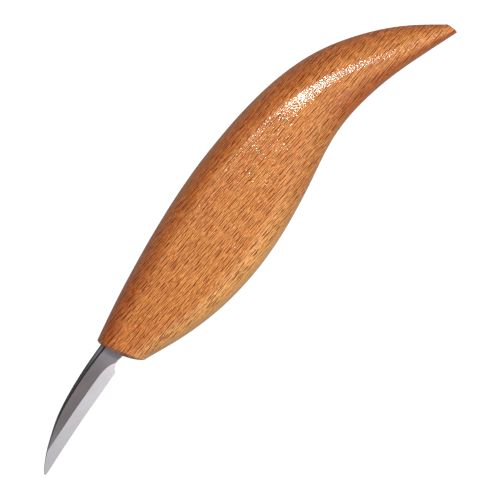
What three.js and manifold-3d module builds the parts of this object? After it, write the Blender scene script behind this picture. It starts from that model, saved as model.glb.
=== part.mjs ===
// Chip carving knife: a short straight-edged blade whose hidden tang is bedded in epoxy
// inside a one-piece beech handle with a tail-shaped butt. It lies on its side.
//
// Frame: millimetres, +X from the blade's tip to the tail, +Y towards the blade's spine
// and the handle's back, +Z up through the knife's thickness. The knife is drawn on its
// own mid-plane with the tip at x = 0, and is then stood on z = 0 with the origin under
// the middle of its bounding box.

import * as THREE from "three";
import { mergeVertices } from "three/addons/utils/BufferGeometryUtils.js";
import Module from "manifold-3d";

// ---- driving dimensions ----

// Each rib of the handle spans from its back edge to its belly edge, across the knife:
// back x, back y, belly x, belly y, half thickness before planing, where its flat starts
// and ends, from -1 at the belly to 1 at the back, and how much its sides are crowned. On
// the tail the flat becomes a narrow crowned crest, which crosses over from the back's
// side to the belly's.
const HANDLE_RIBS = [
  [33.52, 13.36, 38.25, 1.2, 7.4, -0.3, 0.2, 0],
  [46.1, 17.14, 49.9, -2.22, 9.0, -0.45, 0.36, 0],
  [61.1, 20.86, 64.1, -4.17, 10.7, -0.52, 0.45, 0],
  [77.6, 23.9, 81.1, -3.08, 11.7, -0.5, 0.48, 0],
  [93.1, 25.24, 96.6, 0.55, 11.4, -0.3, 0.46, 0.03],
  [107.1, 25.08, 108.6, 4.02, 10.2, 0.0, 0.32, 0.12],
  [120.15, 22.8, 117.9, 5.08, 8.7, -0.02, 0.18, 0.16],
  [131.5, 17.95, 126.8, 4.6, 7.2, -0.2, 0.0, 0.16],
  [141.0, 11.46, 136.1, 2.99, 5.5, -0.38, -0.16, 0.12],
  [149.45, 3.08, 149.76, -0.44, 2.9, -0.3, 0.1, 0.06],
];
const BOARD_THICKNESS = 20; // the handle is sawn from a board, whose faces stay as flats
const BOARD_EASING = 0.8; // how softly the flats run out into the rounded ends
const FRONT_DOME = { height: 1.5, power: 1.9 }; // how far the front end stands out of its rim
const TAIL_FACET = { height: 0.12, power: 6 };
const HANDLE_STEP = 2.4; // length of one station of the handle's mesh
const ARC_STEPS = 6; // steps in each rounded quarter of the handle's section
const FLAT_STEPS = 4; // steps across each flat side
const CAP_SCALES = [0.97, 0.88, 0.72, 0.45]; // sizes of an end cap's rings, rim to centre

const TIP_X = 0.05; // the point is very slightly blunt
const EDGE_POINTS = [ // the cutting edge is very nearly straight
  [0.0, -0.18],
  [2.0, 0.11],
  [5.0, 0.66],
  [10.0, 1.5],
  [16.0, 2.45],
  [23.0, 3.42],
  [30.4, 4.4],
  [36.0, 5.1],
];
const EDGE_HALF = 0.03; // half the thickness left at the sharpened edge
const SPINE_POINTS = [
  [0.0, 0.4],
  [1.0, 1.3],
  [2.0, 2.05],
  [4.0, 3.4],
  [8.0, 5.55],
  [12.0, 7.37],
  [16.0, 8.7],
  [22.0, 10.12],
  [28.0, 11.17],
  [33.5, 11.86],
  [40.0, 12.6],
];
const HEEL = { x: 30.5, y: 4.42 };
const CHOIL = { x: 32.4, y: 6.02 }; // top of the notch between the heel and the handle
const NOTCH_BEND = 1.5; // 2 would make the notch's corner a quarter ellipse, 1 a straight cut
const ROOT = { x: 34.6, y: 5.95 }; // where the blade's lower side enters the handle
const BEVEL_RISE = 2.9; // height of the ground bevel above the edge
const PLUNGE = { from: 22, to: 32.4, drop: 1.54, power: 5 }; // the bevel dies out at the heel
const HALF_AT_ROOT = 0.9; // the blade tapers in thickness from root to tip
const HALF_AT_TIP = 0.6;
const SPINE_ROUND_AT_TIP = 0.1; // depth of the spine's rounding, growing towards the root
const SPINE_ROUND_GROWTH = 0.04;
const SPINE_ROUND_LIMIT = 0.4; // at most this share of the blade's height
const SPINE_CREST = 0.12; // the rounding ends in a flat, as a share of the thickness
const SPINE_ARC_STEPS = 3;
const LEAST_LAND = 0.05; // least height of each strip of the blade's side

const SHOULDER_X = 36; // just inside the handle the blade steps down to a narrower tang
const TANG_END_X = 78;
const TANG_AXIS_Y = 8.85; // height of the tang's axis where it enters the handle
const TANG_SLOPE = 0.145;
const TANG_HALF_AT_SHOULDER = 2.2; // half height of the tang
const TANG_HALF_AT_END = 1.5;

const MORTISE_HALF_HEIGHT = 3.65; // the slot is higher than the tang, but hardly thicker
const MORTISE_HALF_WIDTH = 1.2;
const MORTISE_ROUND = 0.4;
const MORTISE_END_X = 80;
const GAP = 0.3; // room kept between separate pieces

const BEECH = new THREE.MeshStandardMaterial({ color: 0xc98a52, roughness: 0.38 });
const STEEL = new THREE.MeshStandardMaterial({ color: 0xb9b6ba, roughness: 0.3, metalness: 1 });
const EPOXY = new THREE.MeshStandardMaterial({ color: 0x8a6a3c, roughness: 0.3 });

// ---- helpers ----

const wasm = await Module();
wasm.setup();

// A closed geometry as a manifold-3d solid, for cutting.
function solidOf(geometry) {
  const bare = geometry.clone();
  bare.deleteAttribute("normal");
  bare.deleteAttribute("uv");
  const merged = mergeVertices(bare, 1e-4);
  const vertProperties = merged.attributes.position.array;
  const triVerts = new Uint32Array(merged.index.array);
  return new wasm.Manifold(new wasm.Mesh({ numProp: 3, vertProperties, triVerts }));
}

// A manifold-3d solid as a flat-shaded geometry.
function geometryOf(solid) {
  const mesh = solid.getMesh();
  const geometry = new THREE.BufferGeometry();
  geometry.setAttribute("position", new THREE.BufferAttribute(mesh.vertProperties, 3));
  geometry.setIndex(new THREE.BufferAttribute(mesh.triVerts, 1));
  const faceted = geometry.toNonIndexed();
  faceted.computeVertexNormals();
  return faceted;
}

// A closed skin through rings of equal length, with a fan over each end. Every ring runs
// anticlockwise seen from +X, and the rings follow one another along +X.
function loft(rings) {
  const count = rings[0].length;
  const points = rings.flat();
  const faces = [];
  rings.slice(1).forEach((_, r) => {
    for (let i = 0; i < count; i++) {
      const a = r * count + i;
      const b = r * count + ((i + 1) % count);
      faces.push(a, b, b + count, a, b + count, a + count);
    }
  });
  const centreOf = (ring) =>
    ring.reduce((sum, p) => sum.add(p), new THREE.Vector3()).divideScalar(count);
  const first = points.push(centreOf(rings[0])) - 1;
  const last = points.push(centreOf(rings.at(-1))) - 1;
  const lastRing = (rings.length - 1) * count;
  for (let i = 0; i < count; i++) {
    const next = (i + 1) % count;
    faces.push(first, next, i, last, lastRing + i, lastRing + next);
  }
  const geometry = new THREE.BufferGeometry().setFromPoints(points);
  geometry.setIndex(faces);
  return geometry;
}

// The natural cubic spline through rows of numbers at increasing knots: one smooth curve
// for each column. Returns a function from a knot value to a row.
function smoothRows(knots, rows) {
  const last = knots.length - 1;
  const bends = rows.map((row) => row.map(() => 0)); // second derivatives, 0 at both ends
  const pivots = knots.map(() => 0);
  for (let i = 1; i < last; i++) {
    const before = knots[i] - knots[i - 1];
    const after = knots[i + 1] - knots[i];
    const pivot = 2 * (before + after) - before * pivots[i - 1];
    pivots[i] = after / pivot;
    bends[i] = rows[i].map((value, c) => {
      const turn = (rows[i + 1][c] - value) / after - (value - rows[i - 1][c]) / before;
      return (6 * turn - before * bends[i - 1][c]) / pivot;
    });
  }
  for (let i = last - 1; i > 0; i--) {
    bends[i] = bends[i].map((bend, c) => bend - pivots[i] * bends[i + 1][c]);
  }
  return (t) => {
    const i = Math.max(1, knots.findIndex((knot, k) => k > 0 && t <= knot)) - 1;
    const span = knots[i + 1] - knots[i];
    const b = (t - knots[i]) / span;
    const a = 1 - b;
    return rows[i].map((value, c) => {
      const sag = (a ** 3 - a) * bends[i][c] + (b ** 3 - b) * bends[i + 1][c];
      return a * value + b * rows[i + 1][c] + (sag * span ** 2) / 6;
    });
  };
}

// ---- handle ----

// Half the board's thickness wherever the blank is thicker, with an eased run-out.
function planed(half) {
  const limit = BOARD_THICKNESS / 2;
  const over = THREE.MathUtils.clamp(half - limit + BOARD_EASING, 0, 2 * BOARD_EASING);
  return Math.min(half, limit - BOARD_EASING + over) - over ** 2 / (4 * BOARD_EASING);
}

// The section at one rib, as a ring: flat in its middle, a quarter ellipse at each edge.
function handleRing(rib, scale = 1, advance = 0) {
  const [backX, backY, bellyX, bellyY, half, flatFrom, flatTo, crown] = rib;
  const back = new THREE.Vector2(backX, backY);
  const belly = new THREE.Vector2(bellyX, bellyY);
  const centre = back.clone().add(belly).divideScalar(2);
  const across = back.clone().sub(belly).divideScalar(2);
  const along = new THREE.Vector2(across.y, -across.x).normalize();
  const thick = planed(half);

  const side = []; // the +Z side as shares of width and thickness, from back to belly
  for (let i = 0; i <= ARC_STEPS; i++) {
    const angle = ((i / ARC_STEPS) * Math.PI) / 2;
    side.push([flatTo + (1 - flatTo) * Math.cos(angle), Math.sin(angle)]);
  }
  for (let i = 1; i < FLAT_STEPS; i++) {
    side.push([THREE.MathUtils.lerp(flatTo, flatFrom, i / FLAT_STEPS), 1]);
  }
  for (let i = ARC_STEPS; i >= 0; i--) {
    const angle = ((i / ARC_STEPS) * Math.PI) / 2;
    side.push([flatFrom - (1 + flatFrom) * Math.cos(angle), Math.sin(angle)]);
  }
  const mirrored = side.slice(1, -1).map(([w, t]) => [w, -t]).reverse();

  const crest = (flatFrom + flatTo) / 2;
  return [...side, ...mirrored].map(([w, t]) => {
    const p = centre.clone().addScaledVector(across, w * scale);
    p.addScaledVector(along, advance);
    const crowned = thick * (1 - crown * (w - crest) ** 2);
    return new THREE.Vector3(p.x, p.y, t * crowned * scale);
  });
}

// The rings of an end cap, from just inside the rim to near its centre.
function capRings(rib, { height, power }, direction) {
  return CAP_SCALES.map((scale) => {
    const advance = height * (1 - scale ** power) ** (1 / power);
    return handleRing(rib, scale, direction * advance);
  });
}

// The handle's outside, without its mortise.
function handleBlank() {
  const centres = HANDLE_RIBS.map(
    ([bx, by, ex, ey]) => new THREE.Vector2((bx + ex) / 2, (by + ey) / 2),
  );
  const knots = [0];
  centres.slice(1).forEach((c, i) => knots.push(knots[i] + c.distanceTo(centres[i])));
  const ribAt = smoothRows(knots, HANDLE_RIBS);
  const length = knots.at(-1);
  const stations = Math.round(length / HANDLE_STEP);
  const rings = capRings(HANDLE_RIBS[0], FRONT_DOME, -1).reverse();
  for (let i = 0; i <= stations; i++) {
    rings.push(handleRing(ribAt((i / stations) * length)));
  }
  rings.push(...capRings(HANDLE_RIBS.at(-1), TAIL_FACET, 1));
  return loft(rings);
}

// ---- blade and tang ----

// The height of a curve through points at x.
function curveThrough(points) {
  const rowAt = smoothRows(
    points.map(([x]) => x),
    points.map(([, y]) => [y]),
  );
  return (x) => rowAt(x)[0];
}

const edgeAt = curveThrough(EDGE_POINTS);
const spineAt = curveThrough(SPINE_POINTS);
const tangAxis = (x) => TANG_AXIS_Y + TANG_SLOPE * (x - ROOT.x);

// Lower outline of the blade: the cutting edge, then the rounded notch behind the heel.
function lowerOutline(x) {
  if (x <= HEEL.x) return edgeAt(x);
  if (x >= ROOT.x) return ROOT.y;
  if (x >= CHOIL.x) {
    const share = (x - CHOIL.x) / (ROOT.x - CHOIL.x);
    return THREE.MathUtils.lerp(CHOIL.y, ROOT.y, share ** 2);
  }
  const share = (CHOIL.x - x) / (CHOIL.x - HEEL.x);
  return HEEL.y + (CHOIL.y - HEEL.y) * (1 - share ** NOTCH_BEND) ** (1 / NOTCH_BEND);
}

// The blade's half thickness at x, before the bevel is ground.
function stockHalf(x) {
  const share = Math.min(1, x / HEEL.x);
  return HALF_AT_TIP + (HALF_AT_ROOT - HALF_AT_TIP) * share;
}

// Height and half thickness of each corner of the section at x, from edge to spine.
function bladeCorners(x) {
  const stock = stockHalf(x);
  const edge = edgeAt(x);
  const dying = Math.max(0, (x - PLUNGE.from) / (PLUNGE.to - PLUNGE.from));
  const rise = BEVEL_RISE - PLUNGE.drop * Math.min(1, dying) ** PLUNGE.power;
  const ground = (y) => {
    if (x >= PLUNGE.to) return stock;
    return Math.min(stock, EDGE_HALF + ((stock - EDGE_HALF) * (y - edge)) / rise);
  };
  const low = lowerOutline(x);
  const spine = spineAt(x);
  const fullRound = SPINE_ROUND_AT_TIP + SPINE_ROUND_GROWTH * x;
  const round = Math.min(fullRound, SPINE_ROUND_LIMIT * (spine - low));
  const shoulder = spine - round;
  const highest = shoulder - LEAST_LAND; // near the tip the bevel runs up to the spine
  const bevelTop = THREE.MathUtils.clamp(edge + rise, low + LEAST_LAND, highest);
  const corners = [
    [low, ground(low)],
    [bevelTop, ground(bevelTop)],
    [shoulder, ground(shoulder)],
  ];
  for (let i = 1; i < SPINE_ARC_STEPS; i++) {
    const angle = ((i / SPINE_ARC_STEPS) * Math.PI) / 2;
    const half = ground(shoulder) * Math.cos(angle);
    corners.push([shoulder + round * Math.sin(angle), half]);
  }
  corners.push([spine, ground(shoulder) * SPINE_CREST]);
  return corners;
}

// The tang's section has the same number of corners as the blade's, and is a plain bar.
function tangCorners(x) {
  const share = (x - SHOULDER_X) / (TANG_END_X - SHOULDER_X);
  const half = THREE.MathUtils.lerp(TANG_HALF_AT_SHOULDER, TANG_HALF_AT_END, share);
  const count = bladeCorners(x).length;
  return Array.from({ length: count }, (_, i) => [
    tangAxis(x) + half * ((2 * i) / (count - 1) - 1),
    HALF_AT_ROOT,
  ]);
}

// Corners as a ring, anticlockwise seen from +X, grown outwards by a clearance.
function ringAt(x, corners, grow = 0) {
  const last = corners.length - 1;
  const side = corners.map(([y, half], i) => {
    const shift = i === 0 ? -grow : i === last ? grow : 0;
    return new THREE.Vector3(x, y + shift, half + grow);
  });
  const mirrored = side.map((p) => new THREE.Vector3(p.x, p.y, -p.z)).reverse();
  return [...mirrored, ...side].reverse();
}

function bladeWithTang() {
  const tipStations = [TIP_X, 0.6, 1.3, 2.2, 3.3, 4.5, 6, 8, 10, 12, 14, 16, 18, 20, 22];
  const heelStations = [24, 25.5, 27, 28.2, 29.2, 29.9, HEEL.x];
  const notchStations = [30.55, 30.75, 31.1, 31.6, CHOIL.x, 33.2, 34, ROOT.x];
  const stations = [...tipStations, ...heelStations, ...notchStations, SHOULDER_X - 0.05];
  const rings = stations.map((x) => ringAt(x, bladeCorners(x)));
  rings.push(ringAt(SHOULDER_X, tangCorners(SHOULDER_X)));
  rings.push(ringAt(TANG_END_X, tangCorners(TANG_END_X)));
  return loft(rings);
}

// The tang alone with room for the gap around it, for cutting the epoxy.
function tangWithGap() {
  const from = SHOULDER_X - 1;
  const to = TANG_END_X + GAP;
  return loft([ringAt(from, tangCorners(from), GAP), ringAt(to, tangCorners(to), GAP)]);
}

// ---- mortise and epoxy ----

// A straight slot with rounded corners along the tang's axis, from one x to another.
function slotAlongTang(fromX, toX, inset = 0) {
  const high = MORTISE_HALF_HEIGHT - inset;
  const wide = MORTISE_HALF_WIDTH - inset;
  const r = Math.min(MORTISE_ROUND, wide / 2);
  const outline = new THREE.Shape();
  outline.absarc(high - r, r - wide, r, -Math.PI / 2, 0);
  outline.absarc(high - r, wide - r, r, 0, Math.PI / 2);
  outline.absarc(r - high, wide - r, r, Math.PI / 2, Math.PI);
  outline.absarc(r - high, r - wide, r, Math.PI, (3 * Math.PI) / 2);
  outline.closePath();
  const points = outline.getPoints(3).slice(0, -1);
  const ring = (x) => points.map((p) => new THREE.Vector3(x, tangAxis(x) + p.x, p.y));
  return loft([ring(fromX), ring(toX)]);
}

function handleWithMortise() {
  const slot = solidOf(slotAlongTang(CHOIL.x - 10, MORTISE_END_X));
  return geometryOf(solidOf(handleBlank()).subtract(slot));
}

// The epoxy lies above and below the tang and joins up behind its end.
function epoxyBed() {
  const bed = solidOf(slotAlongTang(SHOULDER_X + GAP, MORTISE_END_X - GAP, GAP));
  return geometryOf(bed.subtract(solidOf(tangWithGap())));
}

// ---- assembly ----

function named(name, geometry, material) {
  const mesh = new THREE.Mesh(geometry, material);
  mesh.name = name;
  return mesh;
}

const knife = new THREE.Group();
knife.add(
  named("blade", geometryOf(solidOf(bladeWithTang())), STEEL),
  named("handle", handleWithMortise(), BEECH),
  named("tang_epoxy", epoxyBed(), EPOXY),
);
const box = new THREE.Box3().setFromObject(knife);
const middle = box.getCenter(new THREE.Vector3());
knife.position.set(-middle.x, -middle.y, -box.min.z);

const part = new THREE.Group();
part.add(knife);

export default part;
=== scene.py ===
"""A chip carving knife lying on its side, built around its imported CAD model.

Shapes are drawn in millimetres in the knife's own frame, with the blade's tip at x = 0 and
the knife's mid-plane at z = 0, and are then moved onto the CAD model's frame in metres.
+X runs from the tip to the tail, +Y towards the blade's spine, +Z up through the thickness.
"""

import math

import bmesh
import bpy
import numpy as np
from mathutils import Matrix, Vector


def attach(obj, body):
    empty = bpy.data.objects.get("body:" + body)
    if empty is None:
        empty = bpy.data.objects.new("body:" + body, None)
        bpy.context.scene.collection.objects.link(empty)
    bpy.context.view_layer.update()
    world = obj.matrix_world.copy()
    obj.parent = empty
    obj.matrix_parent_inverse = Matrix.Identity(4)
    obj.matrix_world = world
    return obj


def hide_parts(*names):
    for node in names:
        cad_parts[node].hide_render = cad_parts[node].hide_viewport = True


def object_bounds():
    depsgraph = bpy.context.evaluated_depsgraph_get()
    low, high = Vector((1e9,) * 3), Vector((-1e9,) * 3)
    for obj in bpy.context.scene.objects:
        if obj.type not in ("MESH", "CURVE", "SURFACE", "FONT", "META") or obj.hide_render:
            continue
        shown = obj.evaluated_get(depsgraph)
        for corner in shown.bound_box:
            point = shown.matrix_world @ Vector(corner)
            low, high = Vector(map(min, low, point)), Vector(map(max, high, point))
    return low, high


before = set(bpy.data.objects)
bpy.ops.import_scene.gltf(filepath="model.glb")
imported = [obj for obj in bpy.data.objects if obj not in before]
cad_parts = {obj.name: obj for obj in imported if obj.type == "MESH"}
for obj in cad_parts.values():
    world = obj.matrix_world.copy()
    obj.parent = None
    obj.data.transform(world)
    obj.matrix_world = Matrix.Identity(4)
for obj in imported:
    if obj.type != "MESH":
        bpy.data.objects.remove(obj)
cad_low, cad_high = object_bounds()

MM = 0.001

# ---- the handle's shape ----

# Back x, back y, belly x, belly y, half thickness, where the flat starts and ends, and crown.
HANDLE_RIBS = np.array(
    [
        (33.52, 13.36, 38.25, 1.2, 7.4, -0.3, 0.2, 0.0),
        (46.1, 17.14, 49.9, -2.22, 9.0, -0.45, 0.36, 0.0),
        (61.1, 20.86, 64.1, -4.17, 10.7, -0.52, 0.45, 0.0),
        (77.6, 23.9, 81.1, -3.08, 11.7, -0.5, 0.48, 0.0),
        (93.1, 25.24, 96.6, 0.55, 11.4, -0.3, 0.46, 0.03),
        (107.1, 25.08, 108.6, 4.02, 10.2, 0.0, 0.32, 0.12),
        (120.15, 22.8, 117.9, 5.08, 8.7, -0.02, 0.18, 0.16),
        (131.5, 17.95, 126.8, 4.6, 7.2, -0.2, 0.0, 0.16),
        (141.0, 11.46, 136.1, 2.99, 5.5, -0.38, -0.16, 0.12),
        (149.45, 3.08, 149.76, -0.44, 2.9, -0.3, 0.1, 0.06),
    ]
)
BOARD_HALF = 10.0  # the handle is sawn from a board, whose faces stay as flats
BOARD_EASING = 0.8  # how softly the flats run out into the rounded ends
FRONT_DOME = (1.5, 1.9)  # height and power
TAIL_FACET = (0.12, 6.0)
FACET_CENTRE = 0.015  # size of the facet's smallest ring, as a share of its rim
DOME_CROWDING, FACET_CROWDING = 2.2, 1.8  # above 1, the cap's rings crowd towards its rim
STATIONS = 230
ARC_STEPS = 26
FLAT_STEPS = 14
DOME_RINGS = 26
FACET_RINGS = 14

# Waves that hand sanding leaves: each kind is a product of two waves, given by their lengths
# along x, y and z over 2 pi and by their phase.
SLOW_DEPTH, QUICK_DEPTH = 0.03, 0.015
SLOW_WAVES = ((5.3, 6.1, math.inf, 0.7), (math.inf, 4.7, -5.9, 1.9))
QUICK_WAVES = ((2.9, math.inf, -3.7, 0.0), (7.9, 3.1, math.inf, 0.4))

# ---- the blade's shape ----

TIP_X = 0.05  # the point is very slightly blunt
EDGE_POINTS = [
    (0, -0.18), (2, 0.11), (5, 0.66), (10, 1.5),
    (16, 2.45), (23, 3.42), (30.4, 4.4), (36, 5.1),
]
EDGE_HALF = 0.03
SPINE_POINTS = [
    (0, 0.4), (1, 1.3), (2, 2.05), (4, 3.4), (8, 5.55), (12, 7.37),
    (16, 8.7), (22, 10.12), (28, 11.17), (33.5, 11.86), (40, 12.6),
]
HEEL = (30.5, 4.42)
CHOIL = (32.4, 6.02)  # top of the notch between the heel and the handle
NOTCH_BEND = 1.5
ROOT = (34.6, 5.95)  # where the blade's lower side enters the handle
BEVEL_RISE = 2.9
PLUNGE_FROM, PLUNGE_TO, PLUNGE_DROP, PLUNGE_POWER = 22, 32.4, 1.54, 5
HALF_AT_ROOT, HALF_AT_TIP = 0.9, 0.6
SPINE_ROUND_AT_TIP, SPINE_ROUND_GROWTH, SPINE_ROUND_LIMIT = 0.1, 0.04, 0.4
SHOULDER_X, TANG_END_X = 36.0, 78.0
TANG_AXIS_Y, TANG_SLOPE = 8.85, 0.145
TANG_HALF_AT_SHOULDER, TANG_HALF_AT_END = 2.2, 1.5

# Corners of one side of a blade section, as shares of the height of the bevel and of the
# flat, and for the spine's rounding as shares of its height and of the thickness there.
BEVEL_SHARES = (0, 0.1, 0.35, 0.7, 1)
FLAT_SHARES = (0.25, 0.5, 0.75, 1)
ROUNDING = ((0.35, 0.77), (0.7, 0.52), (0.86, 0.36), (0.96, 0.18))
CORNERS = len(BEVEL_SHARES) + len(FLAT_SHARES) + len(ROUNDING)
TANG_TOP = 0.98  # the tang's uppermost corners lie this share of its half height above its axis
LEAST_LAND = 0.02  # least height of each strip of the blade's side
POINT_END_X, PLAIN_END_X = 6, 27  # stations crowd before the first and beyond the second
POINT_CROWDING = 1.6
POINT_STATIONS, PLAIN_STATIONS, PLUNGE_STATIONS = 40, 70, 22
NOTCH_STATIONS, FLARE_STATIONS = 22, 10
HIDDEN_X = 35.3  # one station between the blade's root and its shoulder
TANG_STATIONS = (SHOULDER_X, 50.0, 64.0, TANG_END_X)

# ---- the mortise and the epoxy in it ----

SLOT_HALF_HEIGHT, SLOT_HALF_WIDTH, SLOT_ROUND = 3.45, 1.06, 0.35
SLOT_CORNER_STEPS = 8
SLOT_END_X = 79.0
SLOT_SHARES = (0, 0.01, 0.03, 0.1, 0.3, 0.6, 1.0)  # stations from its mouth to its end
MOUTH_CHAMFER = 0.1
MOUTH_ROUNDS = 60  # rounds of settling the mortise's outline onto the dome
SKIN = 0.02  # the pieces stay this far apart
EPOXY_SINK = 0.06  # the epoxy's front lies this far behind the mouth's chamfer
EPOXY_STEPS = (0.03, 0.05)  # behind the shoulder its inside steps from the blade to the tang
EPOXY_MIDDLE_X = 50.0
EPOXY_RING = 96  # points round each of its rings

# ---- looks ----

CREASE = math.radians(40)  # an edge that turns by more than this is drawn sharp
BLADE_CREASE = math.radians(35)
BEVEL, FLAT, SPINE, CREST = range(4)  # places of the blade's finishes in STEEL_FINISHES

# All colours are sRGB from 0 to 255.
GRAIN_TURN = math.radians(1.8)  # the grain runs at a slight angle to the knife's length
WOOD_DEEP, WOOD_LIGHT = (138, 49, 12), (162, 86, 34)
# the last of these is the red of painted shade on the back side and the front end, also given to
# the tail's belly edge
WOOD_MOTTLE, WOOD_LAYER, WOOD_SHADE_RED = (146, 54, 12), (150, 66, 22), (154, 62, 17)
# painted light: the paler colour painted on the belly's front, where it faces the light
WOOD_PAINTED_LIGHT = (234, 178, 106)
FIBRE_PALE, FIBRE_BROWN, LINE_BROWN = (209, 142, 80), (128, 52, 12), (128, 50, 10)
RAY_DARK, RAY_PALE = (100, 31, 0), (220, 159, 89)
PORE_DARK, END_GRAIN = (120, 52, 18), (104, 48, 20)
EPOXY_DARK, EPOXY_LIGHT = (96, 58, 28), (150, 98, 52)

# Each finish of the blade: name, colour, roughness and how dark its grinding lines are, and
# for the sides and the crest the shares by which the colour is darkened in the middle of the
# blade, as painted reflection. The spine's strips are painted dark as painted shade, and the
# crest along their middle lighter as painted reflection.
STEEL_FINISHES = (
    ("steel_bevel", (214, 213, 218), 0.3, 0.25),
    ("steel_side", (234, 228, 238), 0.18, 0.35, (0.84, 0.79, 0.75)),
    # painted shade: the spine's strips are steel painted dark
    ("steel_spine", (74, 73, 80), 0.45, 0.4),
    # painted reflection: the crest is steel painted lighter, which stays light near the handle
    # and the point
    ("steel_crest", (184, 184, 190), 0.4, 0.4, (0.3, 0.3, 0.31)),
)

# Length, width and depth of each pattern's features in millimetres, and a shift that keeps
# the patterns apart.
PATCHES = (16.0, 5.0, 8.0)
MOTTLE = (4.0, 1.2, 3.0, 31.0)
LAYER_SWAY = (30.0, 9.0, 9.0, 7.0)
FIBRES = (1.5, 0.15, 0.4, 3.0)
LINES = (6.0, 0.22, 1.0, 13.0)
PORES = (0.5, 0.1, 0.12, 17.0)
FILM = (0.5, 0.36, 0.36, 23.0)
SWAY_LONG, SWAY_ACROSS, SWAY = 45.0, 18.0, 1.6  # size of the grain's swings, and their reach
SHADE_LEAN = -0.014  # how much the wood's colour deepens, as painted shade, with each millimetre towards the back
LAYER_SPACING, LAYER_SWING = 2.6, 2.4
LAYER_SLOPE, LAYER_BOW = 0.012, 0.006  # the layers climb along the grain and bow across it

# Rays: the length, width and depth of the cells that hold one each, the ray's half length
# and half width, a shift, and how rare they are.
LONG_RAYS = (4.2, 0.95, 26.0, 2.1, 0.1, 0.0, -0.3)
SHORT_RAYS = (3.0, 0.52, 20.0, 1.5, 0.084, 5.3, -0.3)
PALE_RAYS = (1.7, 0.45, 9.0, 0.7, 0.09, 9.1, -0.2)
RAY_JITTER = 0.8
RAY_LEAST, RAY_SPREAD = 0.55, 0.8  # a ray's own length, as the least share and what is added
RAY_FADE = 0.5  # how gradually rays get stronger from the rarest on

# Bump heights in millimetres.
WOOD_RELIEF, VARNISH_RELIEF, FILM_RELIEF = 0.02, 0.002, 0.052
STEEL_RELIEF, EPOXY_RELIEF = 0.004, 0.05

GRIND_LONG, GRIND_WIDE, GRIND_DEEP = 9.0, 0.045, 3.0  # size of a grinding line
CLOUD_SCALE = (0.16, 0.3, 0.3)  # of the soft clouds on the steel, per millimetre
CLOUD_TINT, LINE_TINT = (0.98, 0.95, 0.94), (0.8, 0.8, 0.8)
DIMMED_X, DIMMED_CORE, DIMMED_EDGE = -55.0, 5.0, 14.0  # the stretch darkened as painted reflection, in the CAD model's frame
DIMMED_MOST = 0.75

# ---- camera, floor and light ----

SCREEN_TURN = math.radians(47.2)  # the knife's +X axis rises to the right in the picture
FRAME_WIDTH = 123.95 * MM  # what the frame spans at the knife's mid-plane
FRAME_CENTRE = (75.47, 0.64)  # the frame's centre, in the knife's frame in millimetres
CAMERA_DISTANCE = 0.6
CLIP_START = 0.01
SENSOR = 36.0
FLOOR = 3.0  # half the floor's side, in metres
FLOOR_DROP = 0.0002
FLOOR_GREY, FLOOR_GLOW = (125, 125, 125), 0.93
LIGHT_HEIGHT, LIGHT_AIM = 0.7, 0.01  # metres above the lights' aim, and the aim above z = 0
LIGHTS = (  # name, place to the right and up in the picture, width and height, and radiance
    ("strip", 0.085, 0.212, (0.23, 0.055), 120.0),
    ("strip_end", 0.27, 0.22, (0.16, 0.09), 9.0),
    ("strip_start", -0.075, 0.2, (0.09, 0.06), 22.0),
)
SKY_GREY = 0.85
SKY_LEAN = 0.6  # how much brighter the sky is to the picture's lower right
SKY_RISE = (0.0, 0.4, 0.7, 0.93)  # two heights, and the sky's strength at each
SKY_HOLE = (0.81, 0.97, 0.0, 0.69)  # two heights, and what is taken off the strength at each


# ---- curves ----


def smooth_rows(knots, rows):
    """The natural cubic spline through rows at increasing knots, as a function of an array."""
    knots, rows = np.asarray(knots, float), np.asarray(rows, float)
    span = np.diff(knots)
    system = np.eye(len(knots))
    turns = np.zeros_like(rows)
    for i in range(1, len(knots) - 1):
        system[i, i - 1 : i + 2] = span[i - 1], 2 * (span[i - 1] + span[i]), span[i]
        turns[i] = 6 * ((rows[i + 1] - rows[i]) / span[i] - (rows[i] - rows[i - 1]) / span[i - 1])
    bends = np.linalg.solve(system, turns)

    def at(t):
        t = np.atleast_1d(np.asarray(t, float))
        i = np.clip(np.searchsorted(knots, t) - 1, 0, len(span) - 1)
        b = ((t - knots[i]) / span[i])[:, None]
        a = 1 - b
        sag = (a**3 - a) * bends[i] + (b**3 - b) * bends[i + 1]
        return a * rows[i] + b * rows[i + 1] + sag * span[i][:, None] ** 2 / 6

    return at


def curve_through(points):
    at = smooth_rows([x for x, _ in points], [[y] for _, y in points])
    return lambda x: at(x)[:, 0]


def resampled(loop, count):
    """A closed loop of points as count points at even distances, from its first point on."""
    closed = np.vstack([loop, loop[:1]])
    run = np.concatenate([[0], np.cumsum(np.linalg.norm(np.diff(closed, axis=0), axis=1))])
    at = np.arange(count) / count * run[-1]
    return np.stack([np.interp(at, run, closed[:, k]) for k in range(loop.shape[1])], axis=1)


# ---- meshes ----


def loft(name, rings, finishes=None, creases=()):
    """A closed skin through rings of equal length, each end closed by a fan.

    finishes gives a material index for each place in a ring, and creases the places in a
    ring whose lengthwise edges are drawn sharp.
    """
    count, size = rings.shape[:2]
    points = [*rings.reshape(-1, 3), rings[0].mean(0), rings[-1].mean(0)]
    first, last = count * size, count * size + 1
    faces, marks = [], []
    for r in range(count - 1):
        for i in range(size):
            j = (i + 1) % size
            a, b = r * size + i, r * size + j
            faces.append((a, b, b + size, a + size))
            marks.append(finishes[i] if finishes else 0)
    for i in range(size):
        j = (i + 1) % size
        faces.append((first, j, i))
        faces.append((last, (count - 1) * size + i, (count - 1) * size + j))
        marks += [0, 0]
    mesh = bpy.data.meshes.new(name)
    mesh.from_pydata([tuple(p) for p in points], [], faces)
    mesh.polygons.foreach_set("material_index", marks)
    mesh.polygons.foreach_set("use_smooth", [True] * len(faces))
    for edge in mesh.edges:
        a, b = edge.vertices
        if max(a, b) < first and a % size == b % size and a % size in creases:
            edge.use_edge_sharp = True
    piece = bpy.data.objects.new(name, mesh)
    bpy.context.scene.collection.objects.link(piece)
    return piece


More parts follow.
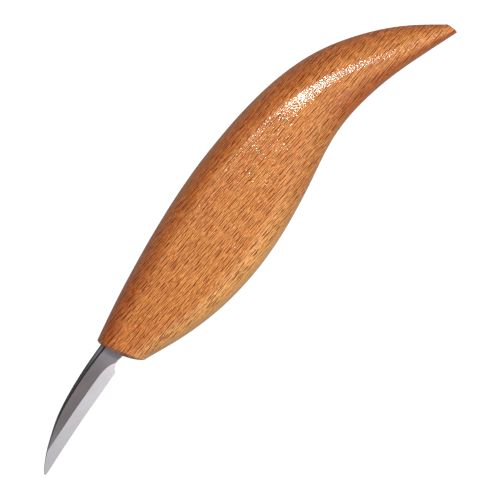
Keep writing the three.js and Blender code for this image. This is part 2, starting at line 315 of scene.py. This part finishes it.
def sharpen(piece, angle):
    """Marks every edge that turns by more than an angle as a crease."""
    shape = bmesh.new()
    shape.from_mesh(piece.data)
    bmesh.ops.recalc_face_normals(shape, faces=shape.faces)
    for edge in shape.edges:
        if edge.calc_face_angle(0.0) > angle:
            edge.smooth = False
    shape.to_mesh(piece.data)
    shape.free()


# ---- handle ----


def planed(half):
    """Half the board's thickness wherever the blank is thicker, with an eased run-out."""
    over = np.clip(half - BOARD_HALF + BOARD_EASING, 0, 2 * BOARD_EASING)
    return np.minimum(half, BOARD_HALF - BOARD_EASING + over) - over**2 / (4 * BOARD_EASING)


def rib_shares(flat_from, flat_to):
    """A section's ring as shares of its width and thickness, for each of many ribs."""
    angle = np.linspace(0, math.pi / 2, ARC_STEPS + 1)
    f0, f1 = np.atleast_1d(flat_from)[:, None], np.atleast_1d(flat_to)[:, None]
    across = np.linspace(0, 1, FLAT_STEPS + 1)[1:-1]
    back_arc = f1 + (1 - f1) * np.cos(angle)
    belly_arc = f0 - (1 + f0) * np.cos(angle[::-1])
    side_w = np.hstack([back_arc, f1 + (f0 - f1) * across, belly_arc])
    side_t = np.concatenate([np.sin(angle), np.ones(len(across)), np.sin(angle[::-1])])
    w = np.hstack([side_w, side_w[:, -2:0:-1]])
    t = np.concatenate([side_t, -side_t[-2:0:-1]])
    return w, np.broadcast_to(t, w.shape)


def rib_frame(rib):
    """A rib's centre, half its width as a vector, its direction and its half thickness."""
    back, belly = rib[..., 0:2], rib[..., 2:4]
    across = (back - belly) / 2
    along = np.stack([across[..., 1], -across[..., 0]], axis=-1)
    along /= np.linalg.norm(along, axis=-1, keepdims=True)
    return (back + belly) / 2, across, along, planed(rib[..., 4])


def on_rib(rib, w, t, advance=0.0):
    """Points of one rib's plane from shares of its width and thickness."""
    centre, across, along, thick = rib_frame(rib)
    flat = centre + across * w[:, None] + along * np.broadcast_to(advance, w.shape)[:, None]
    crowned = thick * (1 - rib[7] * (w - (rib[5] + rib[6]) / 2) ** 2)
    return np.column_stack([flat, t * crowned])


def shrink_of(rib, w, t):
    """The factor by which the rib's ring shrinks to pass through a point of its plane."""
    flat_from, flat_to = rib[5], rib[6]
    f = np.where(w >= 0, flat_to, -flat_from)
    side = np.abs(w)
    c = side**2 + ((1 - f) * t) ** 2
    root = 2 * c / (2 * f * side + np.sqrt((2 * f * side) ** 2 - 4 * (2 * f - 1) * c) + 1e-12)
    return np.where(side <= f * np.abs(t), np.abs(t), root)


def dome(cap, shrink):
    """How far an end cap stands out where its rim has shrunk by a factor."""
    height, power = cap
    return height * np.clip(1 - shrink**power, 0, 1) ** (1 / power)


def slot_outline(grow=0.0, count=2 * (2 * ARC_STEPS + FLAT_STEPS)):
    """The mortise's outline about its axis, as offsets in y and z, from its top round +Z."""
    high, wide, r = SLOT_HALF_HEIGHT + grow, SLOT_HALF_WIDTH + grow, SLOT_ROUND + grow
    loop = [(high, 0.0)]
    for quarter, (up, out) in enumerate(((1, 1), (-1, 1), (-1, -1), (1, -1))):
        for i in range(SLOT_CORNER_STEPS + 1):
            angle = (quarter + i / SLOT_CORNER_STEPS) * math.pi / 2
            y = up * (high - r) + r * math.cos(angle)
            loop.append((y, out * (wide - r) + r * math.sin(angle)))
    return resampled(np.array(loop), count)


def tang_axis(x):
    return TANG_AXIS_Y + TANG_SLOPE * (x - ROOT[0])


def mouth_on_dome(rib, outline):
    """Where the mortise's outline meets the handle's domed front end, as shares of its rib."""
    centre, across, along, thick = rib_frame(rib)
    t = outline[:, 1] / thick
    w = np.zeros(len(t))
    for _ in range(MOUTH_ROUNDS):
        advance = dome(FRONT_DOME, shrink_of(rib, w, t))
        x = centre[0] + across[0] * w - along[0] * advance
        y = tang_axis(x) + outline[:, 0]
        w = 0.5 * w + 0.5 * (y - centre[1] + along[1] * advance) / across[1]
    return w, t


def wave(points, pair):
    """The product of two waves at points, each given by its lengths along x, y, z and phase."""
    x, y, z = points[..., 0], points[..., 1], points[..., 2]
    first, second = (np.sin(x / a + y / b + z / c + phase) for a, b, c, phase in pair)
    return first * second


def undulation(points):
    """The sanded surface's offset outwards in millimetres, which is never above 0."""
    slow, quick = wave(points, SLOW_WAVES), wave(points, QUICK_WAVES)
    return SLOW_DEPTH * (slow - 1) + QUICK_DEPTH * (quick - 1)


def body_rings(ribs, w, t):
    body = [on_rib(rib, w[i], t[i]) for i, rib in enumerate(ribs)]
    for ring, rib in zip(body, ribs):
        centre = np.append((rib[0:2] + rib[2:4]) / 2, 0.0)
        out = ring - centre
        ring += out / np.linalg.norm(out, axis=1, keepdims=True) * undulation(ring)[:, None]
    return body


def front_rings(rim, rim_ring, w, t):
    """The domed front end, from just inside its rim to the edge of the mortise's mouth."""
    mouth_w, mouth_t = mouth_on_dome(rim, slot_outline(MOUTH_CHAMFER))
    waves = rim_ring - on_rib(rim, w, t)
    front = []
    for u in np.linspace(0, 1, DOME_RINGS)[1:]:
        q = u**DOME_CROWDING
        ring_w, ring_t = (1 - q) * w + q * mouth_w, (1 - q) * t + q * mouth_t
        ring = on_rib(rim, ring_w, ring_t, -dome(FRONT_DOME, shrink_of(rim, ring_w, ring_t)))
        front.append(ring + waves * (1 - q))
    return front


def slot_rings(mouth):
    """The mortise's walls, from its chamfered mouth to its end."""
    outline = slot_outline()
    start = mouth[:, 0] + MOUTH_CHAMFER
    inside = []
    for share in SLOT_SHARES:
        x = start + share * (SLOT_END_X - start)
        inside.append(np.column_stack([x, tang_axis(x) + outline[:, 0], outline[:, 1]]))
    return inside


def tail_rings(rim, rim_ring, w, t):
    """The small cut facet at the end of the tail."""
    waves = rim_ring - on_rib(rim, w, t)
    tail = []
    for u in np.linspace(0, 1, FACET_RINGS)[1:]:
        scale = 1 - (1 - FACET_CENTRE) * u**FACET_CROWDING
        advance = dome(TAIL_FACET, np.full(len(t), scale))
        tail.append(on_rib(rim, w * scale, t * scale, advance) + waves * scale)
    return tail


def handle_rings():
    centres = (HANDLE_RIBS[:, 0:2] + HANDLE_RIBS[:, 2:4]) / 2
    knots = np.concatenate([[0], np.cumsum(np.linalg.norm(np.diff(centres, axis=0), axis=1))])
    ribs = smooth_rows(knots, HANDLE_RIBS)(np.linspace(0, knots[-1], STATIONS))
    w, t = rib_shares(ribs[:, 5], ribs[:, 6])
    body = body_rings(ribs, w, t)
    front = front_rings(ribs[0], body[0], w[0], t[0])
    tail = tail_rings(ribs[-1], body[-1], w[-1], t[-1])
    return slot_rings(front[-1])[::-1] + front[::-1] + body + tail


# ---- blade ----

edge_at = curve_through(EDGE_POINTS)
spine_at = curve_through(SPINE_POINTS)


def lower_outline(x):
    """The blade's lower outline: the cutting edge, then the rounded notch behind the heel."""
    share = np.clip((CHOIL[0] - x) / (CHOIL[0] - HEEL[0]), 0, 1)
    notch = HEEL[1] + (CHOIL[1] - HEEL[1]) * (1 - share**NOTCH_BEND) ** (1 / NOTCH_BEND)
    flare = CHOIL[1] + (ROOT[1] - CHOIL[1]) * ((x - CHOIL[0]) / (ROOT[0] - CHOIL[0])) ** 2
    stretches = [x <= HEEL[0], x <= CHOIL[0], x <= ROOT[0]]
    return np.select(stretches, [edge_at(x), notch, flare], ROOT[1])


def blade_sections(x):
    """For stations x, the height and half thickness of each corner from edge to spine."""
    stock = HALF_AT_TIP + (HALF_AT_ROOT - HALF_AT_TIP) * np.minimum(1, x / HEEL[0])
    edge, spine, low = edge_at(x), spine_at(x), lower_outline(x)
    dying = np.clip((x - PLUNGE_FROM) / (PLUNGE_TO - PLUNGE_FROM), 0, 1)
    rise = BEVEL_RISE - PLUNGE_DROP * dying**PLUNGE_POWER

    def ground(y):
        slope = EDGE_HALF + (stock - EDGE_HALF) * (y - edge) / rise
        return np.where(x >= PLUNGE_TO, stock, np.minimum(stock, slope))

    full = SPINE_ROUND_AT_TIP + SPINE_ROUND_GROWTH * x
    drop = np.minimum(full, SPINE_ROUND_LIMIT * (spine - low))
    shoulder = spine - drop
    bevel_top = np.clip(edge + rise, low + LEAST_LAND, shoulder - LEAST_LAND)
    heights = [low + (bevel_top - low) * share for share in BEVEL_SHARES]
    heights += [bevel_top + (shoulder - bevel_top) * share for share in FLAT_SHARES]
    halves = [ground(y) for y in heights]
    heights += [shoulder + up * drop for up, _ in ROUNDING]
    halves += [narrow * ground(shoulder) for _, narrow in ROUNDING]
    return np.stack(heights, axis=1), np.stack(halves, axis=1), spine


def tang_section(x):
    """The same corners as blade_sections for the plain bar of the tang."""
    share = (x - SHOULDER_X) / (TANG_END_X - SHOULDER_X)
    half = TANG_HALF_AT_SHOULDER + (TANG_HALF_AT_END - TANG_HALF_AT_SHOULDER) * share
    heights = tang_axis(x) + half * np.linspace(-1, TANG_TOP, CORNERS)
    return heights, np.full(CORNERS, HALF_AT_ROOT), tang_axis(x) + half


def blade_ring(x, heights, halves, spine, grow=0.0):
    """A ring from the spine's middle down the +Z side, along the edge and up the -Z side."""
    heights, halves = heights[::-1].copy(), halves[::-1] + grow
    heights[-1] -= grow
    side = np.column_stack([np.full(len(heights), x), heights, halves])
    other = side[::-1] * (1, 1, -1)
    return np.vstack([[(x, spine + grow, 0.0)], side, other])


def blade_stations():
    """Stations along the blade, crowded towards its point and round its heel."""
    share = np.linspace(0, 1, POINT_STATIONS)[:-1]
    point = TIP_X + (POINT_END_X - TIP_X) * share**POINT_CROWDING
    plain = np.linspace(POINT_END_X, PLAIN_END_X, PLAIN_STATIONS)[:-1]
    plunge = np.linspace(PLAIN_END_X, HEEL[0], PLUNGE_STATIONS)[:-1]
    angle = np.linspace(0, math.pi / 2, NOTCH_STATIONS)
    notch = HEEL[0] + (CHOIL[0] - HEEL[0]) * (1 - np.cos(angle))
    flare = np.linspace(CHOIL[0], ROOT[0], FLARE_STATIONS)[1:]
    return np.concatenate([point, plain, plunge, notch, flare, [HIDDEN_X, SHOULDER_X - SKIN]])


def blade_rings():
    stations = blade_stations()
    heights, halves, spines = blade_sections(stations)
    rings = [blade_ring(x, heights[i], halves[i], spines[i]) for i, x in enumerate(stations)]
    for x in TANG_STATIONS:
        rings.append(blade_ring(x, *tang_section(x)))
    return rings


def blade_finishes():
    """The finish of each strip round a blade ring, and the places where it is creased."""
    side = [SPINE] * 2 + [CREST] * 2 + [SPINE]
    side += [FLAT] * len(FLAT_SHARES) + [BEVEL] * (len(BEVEL_SHARES) - 1)
    finishes = side + [BEVEL] + side[::-1]
    shoulder = len(ROUNDING) + 1
    places = (shoulder, shoulder + len(FLAT_SHARES), len(side))
    return finishes, {*places, *(len(finishes) - place for place in places)}


# ---- epoxy ----


def epoxy_rings():
    outline = slot_outline(-SKIN, EPOXY_RING)

    def outer(x):
        return np.column_stack([x, tang_axis(x) + outline[:, 0], outline[:, 1]])

    def round_blade(x):
        heights, halves, spines = blade_sections(np.array([x]))
        return resampled(blade_ring(x, heights[0], halves[0], spines[0], SKIN), EPOXY_RING)

    def round_tang(x):
        return resampled(blade_ring(x, *tang_section(x), SKIN), EPOXY_RING)

    rim = HANDLE_RIBS[0]
    mouth_w, mouth_t = mouth_on_dome(rim, slot_outline(0.0, EPOXY_RING))
    face = on_rib(rim, mouth_w, mouth_t, -dome(FRONT_DOME, shrink_of(rim, mouth_w, mouth_t)))
    front_x = face[:, 0] + MOUTH_CHAMFER + EPOXY_SINK
    front = round_blade(ROOT[0])
    upwards = np.argsort(face[:, 1])
    front[:, 0] = np.interp(front[:, 1], face[upwards, 1], front_x[upwards])
    return [
        round_tang(TANG_END_X + SKIN),
        round_tang(SHOULDER_X + EPOXY_STEPS[1]),
        round_blade(SHOULDER_X + EPOXY_STEPS[0]),
        front,
        outer(front_x),
        outer(np.full(EPOXY_RING, EPOXY_MIDDLE_X)),
        outer(np.full(EPOXY_RING, SLOT_END_X - SKIN)),
    ]


# ---- build the pieces ----

handle_shape = np.array(handle_rings())
handle_heights = handle_shape[..., 1]
handle_middle = (handle_heights.min() + handle_heights.max()) / 2
SHIFT = np.array(
    [
        cad_low.x - TIP_X * MM,
        (cad_low.y + cad_high.y) / 2 - handle_middle * MM,
        BOARD_HALF * MM,
    ]
)


def placed(points):
    """Points of the knife's frame in millimetres, in the CAD model's frame in metres."""
    return np.asarray(points) * MM + SHIFT


handle = loft("beech_handle", placed(handle_shape))
sharpen(handle, CREASE)
blade = loft("steel_blade", placed(blade_rings()), *blade_finishes())
sharpen(blade, BLADE_CREASE)
epoxy = loft("epoxy_bed", placed(epoxy_rings()))
sharpen(epoxy, CREASE)
for piece, node, slot in (
    (handle, "handle", "beech"),
    (blade, "blade", "steel"),
    (epoxy, "tang_epoxy", "epoxy"),
):
    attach(piece, "root")
    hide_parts(node)

# ---- material helpers ----


def colour(rgb):
    """A colour picked as sRGB from 0 to 255, as the linear colour that nodes use."""
    linear = [((c / 255 + 0.055) / 1.055) ** 2.4 if c > 10 else c / 255 / 12.92 for c in rgb]
    return (*linear, 1.0)


def scaled(rgb, shares):
    return tuple(c * share for c, share in zip(rgb, shares))


class Graph:
    """The nodes of a material or a world, made by short calls that return output sockets."""

    def __init__(self, owner, shader, output, **constants):
        owner.use_nodes = True
        self.owner, self.tree = owner, owner.node_tree
        self.tree.nodes.clear()
        self.shader = self.tree.nodes.new(shader)
        self.tree.links.new(self.shader.outputs[0], self.tree.nodes.new(output).inputs[0])
        for socket, value in constants.items():
            self.shader.inputs[socket.replace("_", " ")].default_value = value

    def feed(self, socket, value):
        if isinstance(value, bpy.types.NodeSocket):
            self.tree.links.new(value, socket)
        else:
            socket.default_value = value

    def node(self, kind, inputs=(), **settings):
        node = self.tree.nodes.new(kind)
        for key, value in settings.items():
            setattr(node, key, value)
        for key, value in dict(inputs).items():
            self.feed(node.inputs[key], value)
        return node

    def set(self, socket, value):
        self.feed(self.shader.inputs[socket], value)

    def math(self, operation, *values):
        inputs = dict(enumerate(values))
        return self.node("ShaderNodeMath", inputs, operation=operation).outputs[0]

    def vector(self, operation, a, b):
        node = self.node("ShaderNodeVectorMath", {0: a, 1: b}, operation=operation)
        return node.outputs["Value" if operation == "DOT_PRODUCT" else "Vector"]

    def split(self, vector):
        return self.node("ShaderNodeSeparateXYZ", {0: vector}).outputs

    def join(self, x, y, z):
        return self.node("ShaderNodeCombineXYZ", {0: x, 1: y, 2: z}).outputs[0]

    def ease(self, value, low, high, to_low=0.0, to_high=1.0):
        """A smooth step of value from low to high."""
        inputs = {
            "Value": value,
            "From Min": low,
            "From Max": high,
            "To Min": to_low,
            "To Max": to_high,
        }
        step = self.node("ShaderNodeMapRange", inputs, interpolation_type="SMOOTHSTEP")
        return step.outputs[0]

    def mix(self, share, a, b):
        """A blend of two colours, each a socket or sRGB from 0 to 255."""
        node = self.node("ShaderNodeMix", {"Factor": share}, data_type="RGBA")
        for socket, value in ((node.inputs[6], a), (node.inputs[7], b)):
            is_socket = isinstance(value, bpy.types.NodeSocket)
            self.feed(socket, value if is_socket else colour(value))
        return node.outputs[2]

    def noise(self, where, detail=2.0, roughness=0.5):
        inputs = {"Vector": where, "Scale": 1.0, "Detail": detail, "Roughness": roughness}
        return self.node("ShaderNodeTexNoise", inputs).outputs[0]

    def cells(self, where, randomness):
        inputs = {"Vector": where, "Scale": 1.0, "Randomness": randomness}
        return self.node("ShaderNodeTexVoronoi", inputs, feature="F1").outputs

    def position(self):
        """The place on the object, in millimetres of the CAD model's frame."""
        where = self.node("ShaderNodeTexCoord").outputs["Object"]
        return self.vector("MULTIPLY", where, (1000.0, 1000.0, 1000.0))

    def bump(self, height, distance_mm, strength=1.0, under=None):
        inputs = {"Height": height, "Distance": distance_mm * MM, "Strength": strength}
        if under is not None:
            inputs["Normal"] = under
        return self.node("ShaderNodeBump", inputs).outputs[0]


def surface(name, **constants):
    material = bpy.data.materials.new(name)
    return Graph(material, "ShaderNodeBsdfPrincipled", "ShaderNodeOutputMaterial", **constants)


# ---- beech ----


class Grain:
    """The wood's own coordinates in millimetres: along the grain, across it and through it."""

    def __init__(self, g):
        self.g = g
        place = g.position()
        self.direction = (math.cos(GRAIN_TURN), math.sin(GRAIN_TURN), 0.0)
        across = (-math.sin(GRAIN_TURN), math.cos(GRAIN_TURN), 0.0)
        self.x = g.vector("DOT_PRODUCT", place, self.direction)
        self.straight_y = g.vector("DOT_PRODUCT", place, across)
        self.z = g.split(place)[2]
        swing_at = g.join(
            g.math("DIVIDE", self.x, SWAY_LONG),
            g.math("DIVIDE", self.straight_y, SWAY_ACROSS),
            g.math("DIVIDE", self.z, SWAY_ACROSS),
        )
        swing = g.math("SUBTRACT", g.noise(swing_at, 1.0), 0.5)
        self.y = g.math("MULTIPLY_ADD", swing, SWAY, self.straight_y)

    def stretched(self, long, wide, deep, shift=0.0):
        """Coordinates in which a feature of this length, width and depth has the size 1."""
        return self.g.join(
            self.g.math("MULTIPLY_ADD", self.x, 1 / long, shift),
            self.g.math("MULTIPLY_ADD", self.y, 1 / wide, shift),
            self.g.math("MULTIPLY_ADD", self.z, 1 / deep, shift),
        )


def wood_tones(g, grain, patches):
    """Soft patches, a colour painted darker towards the back as painted shade, a finer mottle,
    and yearly layers.
    """
    # painted shade: the wood's colour deepens towards the back
    tone_and_shade = g.math("MULTIPLY_ADD", grain.straight_y, SHADE_LEAN, patches)
    base = g.mix(g.ease(tone_and_shade, 0.3, 0.58), WOOD_DEEP, WOOD_LIGHT)
    mottle = g.noise(grain.stretched(*MOTTLE), 1.0)
    base = g.mix(g.ease(mottle, 0.55, 0.35, to_high=0.35), base, WOOD_MOTTLE)
    layer = g.math("MULTIPLY_ADD", grain.x, LAYER_SLOPE, grain.z)
    layer = g.math("MULTIPLY_ADD", g.math("MULTIPLY", grain.y, grain.y), LAYER_BOW, layer)
    swing = g.noise(grain.stretched(*LAYER_SWAY))
    layer = g.math("MULTIPLY_ADD", swing, LAYER_SWING, layer)
    layer = g.math("FRACT", g.math("DIVIDE", layer, LAYER_SPACING))
    return g.mix(g.ease(layer, 0.55, 0.97, to_high=0.12), base, WOOD_LAYER)


def wood_fibres(g, grain, base, fibres):
    """Fine fibres and longer lines, each paler or browner than the wood."""
    base = g.mix(g.ease(fibres, 0.5, 0.68, to_high=0.5), base, FIBRE_PALE)
    base = g.mix(g.ease(fibres, 0.5, 0.32, to_high=0.5), base, FIBRE_BROWN)
    lines = g.noise(grain.stretched(*LINES), 0.0)
    base = g.mix(g.ease(lines, 0.5, 0.7, to_high=0.4), base, FIBRE_PALE)
    return g.mix(g.ease(lines, 0.5, 0.3, to_high=0.4), base, LINE_BROWN)


def wood_rays(g, grain, long, wide, deep, half_long, half_wide, shift, rarity):
    """Upright ribbons of cells, thin across the board and deep through it, and their rims."""
    where = grain.stretched(long, wide, deep, shift)
    cell = g.cells(where, RAY_JITTER)
    off = g.split(g.vector("SUBTRACT", where, cell["Position"]))
    chance = g.split(cell["Color"])
    size = g.math("MULTIPLY_ADD", chance[0], RAY_SPREAD, RAY_LEAST)
    u = g.math("DIVIDE", g.math("ABSOLUTE", off[0]), g.math("MULTIPLY", size, half_long / long))
    v = g.math("DIVIDE", g.math("ABSOLUTE", off[1]), half_wide / wide)
    far = g.math("MULTIPLY_ADD", g.math("MULTIPLY", u, u), u, v)
    strength = g.ease(chance[1], rarity, rarity + RAY_FADE)
    core = g.math("MULTIPLY", g.ease(far, 1.2, 0.8), strength)
    rim = g.math("MULTIPLY", g.ease(far, 3.0, 1.7), strength)
    return core, rim


def painted_side_light(g, grain, base, side):
    """Painted light and shade by which way the surface faces: the belly's front is painted paler
    as painted light, the back side and the front end redder as painted shade, and the tail's
    belly edge redder too.
    """
    # painted shade: the front end and the sides that face the back are painted redder
    front_shade = g.ease(grain.x, -12.0, -40.0, to_high=0.25)
    red = g.math("ADD", front_shade, g.ease(side, 0.1, 0.7, to_high=0.42))
    # the tail's belly edge is drawn redder as well
    tail_belly = g.ease(side, -0.4, -0.9, to_high=0.6)
    red = g.math("MULTIPLY_ADD", tail_belly, g.ease(grain.x, 30.0, 44.0), red)
    base = g.mix(red, base, WOOD_SHADE_RED)
    # painted light: the belly's front, which faces the light, is painted paler
    painted_light_front = g.ease(grain.x, 24.0, 0.0, to_high=0.44)
    pale = g.math("MULTIPLY", g.ease(side, -0.18, -0.75), painted_light_front)
    return g.mix(pale, base, WOOD_PAINTED_LIGHT)


def beech_material():
    g = surface(
        "beech",
        Specular_IOR_Level=0.06,
        Coat_Weight=0.5,
        Coat_Roughness=0.09,
        Coat_IOR=1.5,
    )
    grain = Grain(g)
    normal = g.node("ShaderNodeNewGeometry").outputs["Normal"]
    patches = g.noise(grain.stretched(*PATCHES))
    fibres = g.noise(grain.stretched(*FIBRES), 1.0, 0.6)
    base = wood_fibres(g, grain, wood_tones(g, grain, patches), fibres)

    long_rays, long_rims = wood_rays(g, grain, *LONG_RAYS)
    short_rays, short_rims = wood_rays(g, grain, *SHORT_RAYS)
    pale_rays, _ = wood_rays(g, grain, *PALE_RAYS)
    pale = g.math("MAXIMUM", g.math("MAXIMUM", long_rims, short_rims), pale_rays)
    base = g.mix(g.math("MULTIPLY", pale, 0.5), base, RAY_PALE)
    side = g.split(normal)[1]
    # painted light and shade, by which way the surface faces
    base = painted_side_light(g, grain, base, side)

    # where the surface runs along the rays, they are seen flat and fade into large flecks
    ray = g.math("MAXIMUM", long_rays, g.math("MULTIPLY", short_rays, 0.8))
    ray = g.math("MULTIPLY", ray, g.ease(g.math("ABSOLUTE", side), 0.8, 0.98, 1.0, 0.15))
    base = g.mix(ray, base, RAY_DARK)
    pore = g.ease(g.noise(grain.stretched(*PORES), 1.0), 0.62, 0.74)
    base = g.mix(g.math("MULTIPLY", pore, 0.35), base, PORE_DARK)

    # end grain drinks the oil and darkens
    facing = g.math("ABSOLUTE", g.vector("DOT_PRODUCT", normal, grain.direction))
    g.set("Base Color", g.mix(g.ease(facing, 0.62, 0.95, to_high=0.55), base, END_GRAIN))

    roughness = g.math("MULTIPLY_ADD", ray, 0.1, 0.38)
    g.set("Roughness", g.math("MULTIPLY_ADD", patches, 0.12, roughness))
    height = g.math("MULTIPLY_ADD", ray, -0.5, g.math("MULTIPLY", pore, -0.6))
    height = g.math("MULTIPLY_ADD", fibres, 0.35, height)
    g.set("Normal", g.bump(height, WOOD_RELIEF))

    # the varnish is a coat with a rippled film, which breaks up the highlight
    film = g.noise(grain.stretched(*FILM), 0.0)
    g.set("Coat Normal", g.bump(film, FILM_RELIEF, under=g.bump(height, VARNISH_RELIEF)))
    return g.owner


# ---- steel ----


def steel_material(name, base, rough, streak, painted_dimming=None):
    """Ground steel with lengthwise grinding lines.

    streak says how dark the lines are, and the last argument gives the three shares by which the
    colour is scaled in the middle of the blade, as painted reflection.
    """
    g = surface(name, Metallic=1.0)
    place = g.position()
    x, y, z = g.split(place)
    line_at = g.join(
        g.math("DIVIDE", x, GRIND_LONG),
        g.math("DIVIDE", g.math("MULTIPLY_ADD", x, TANG_SLOPE, y), GRIND_WIDE),
        g.math("DIVIDE", z, GRIND_DEEP),
    )
    lines = g.noise(line_at, 3.0, 0.7)
    clouds = g.noise(g.vector("MULTIPLY", place, CLOUD_SCALE), 3.0, 0.6)
    shade = g.mix(g.ease(clouds, 0.35, 0.7), base, scaled(base, CLOUD_TINT))
    # painted reflection: the colour is darkened in the middle of the blade, so that it looks
    # lighter near the handle and the point
    if painted_dimming:
        off = g.math("ABSOLUTE", g.math("ADD", x, -DIMMED_X))
        middle = g.ease(off, DIMMED_CORE, DIMMED_EDGE, DIMMED_MOST, 0.0)
        shade = g.mix(middle, shade, scaled(base, painted_dimming))
    shade = g.mix(g.ease(lines, 0.35, 0.7, to_high=streak), shade, scaled(base, LINE_TINT))
    g.set("Base Color", shade)
    roughness = g.math("MULTIPLY_ADD", clouds, 0.08, rough - 0.1)
    g.set("Roughness", g.math("MULTIPLY_ADD", lines, 0.12, roughness))
    g.set("Normal", g.bump(lines, STEEL_RELIEF, 0.6))
    return g.owner


# ---- epoxy ----


def epoxy_material():
    g = surface("epoxy")
    clouds = g.noise(g.vector("MULTIPLY", g.position(), (1.5, 1.5, 1.5)), 3.0)
    g.set("Base Color", g.mix(clouds, EPOXY_DARK, EPOXY_LIGHT))
    g.set("Roughness", g.ease(clouds, 0.2, 0.8, 0.22, 0.42))
    g.set("Normal", g.bump(clouds, EPOXY_RELIEF, 0.5))
    return g.owner


handle.data.materials.append(beech_material())
for finish in STEEL_FINISHES:
    blade.data.materials.append(steel_material(*finish))
epoxy.data.materials.append(epoxy_material())

# ---- camera, floor and light ----

screen_right = Vector((math.cos(SCREEN_TURN), -math.sin(SCREEN_TURN), 0.0))
screen_up = Vector((math.sin(SCREEN_TURN), math.cos(SCREEN_TURN), 0.0))
centre = Vector(placed((*FRAME_CENTRE, 0.0)))

camera = bpy.data.objects.new("camera", bpy.data.cameras.new("camera"))
camera.data.sensor_width = SENSOR
camera.data.lens = SENSOR * CAMERA_DISTANCE / FRAME_WIDTH
camera.data.clip_start = CLIP_START
turn = Matrix((screen_right, screen_up, Vector((0, 0, 1)))).transposed()
eye = centre + Vector((0, 0, CAMERA_DISTANCE))
camera.matrix_world = Matrix.Translation(eye) @ turn.to_4x4()
bpy.context.scene.collection.objects.link(camera)
bpy.context.scene.camera = camera

# the floor glows for the camera only, so that it is white without lighting the knife's sides
floor_mesh = bpy.data.meshes.new("floor")
corners = [(-FLOOR, -FLOOR, 0), (FLOOR, -FLOOR, 0), (FLOOR, FLOOR, 0), (-FLOOR, FLOOR, 0)]
floor_mesh.from_pydata(corners, [], [(0, 1, 2, 3)])
floor = bpy.data.objects.new("floor", floor_mesh)
floor.location.z = -FLOOR_DROP
bpy.context.scene.collection.objects.link(floor)
paper = surface(
    "paper",
    Roughness=0.9,
    Specular_IOR_Level=0.1,
    Base_Color=colour(FLOOR_GREY),
    Emission_Color=(1.0, 1.0, 1.0, 1.0),
)
seen = paper.node("ShaderNodeLightPath").outputs["Is Camera Ray"]
paper.set("Emission Strength", paper.math("MULTIPLY", seen, FLOOR_GLOW))
floor_mesh.materials.append(paper.owner)


def area_light(name, right, up, size, radiance):
    """A soft box aimed at the knife, placed and sized in metres along the picture's axes."""
    light = bpy.data.lights.new(name, "AREA")
    light.shape, light.size, light.size_y = "RECTANGLE", size[0], size[1]
    light.energy = radiance * math.pi * size[0] * size[1]
    box = bpy.data.objects.new(name, light)
    target = Vector((centre.x, centre.y, LIGHT_AIM))
    away = screen_right * right + screen_up * up + Vector((0, 0, LIGHT_HEIGHT))
    back = away.normalized()
    side = (screen_right - back * screen_right.dot(back)).normalized()
    facing = Matrix((side, back.cross(side), back)).transposed()
    box.matrix_world = Matrix.Translation(target + away) @ facing.to_4x4()
    box.visible_camera = False
    bpy.context.scene.collection.objects.link(box)


# the first light makes the highlight on the varnish, and the others let it fade at its ends
for light in LIGHTS:
    area_light(*light)

# the sky is dim straight overhead, where the camera hangs, so that the blade's flats look dark
world = bpy.data.worlds.new("studio")
sky = Graph(world, "ShaderNodeBackground", "ShaderNodeOutputWorld")
direction = sky.node("ShaderNodeTexCoord").outputs["Generated"]
height = sky.split(direction)[2]
glow = sky.math("SUBTRACT", sky.ease(height, *SKY_RISE), sky.ease(height, *SKY_HOLE))
lean = sky.vector("DOT_PRODUCT", direction, (screen_right - screen_up) * SKY_LEAN)
sky.set("Strength", sky.math("MULTIPLY_ADD", lean, glow, glow))
sky.set("Color", (SKY_GREY, SKY_GREY, SKY_GREY, 1.0))
bpy.context.scene.world = world
bpy.context.scene.view_settings.view_transform = "Standard"
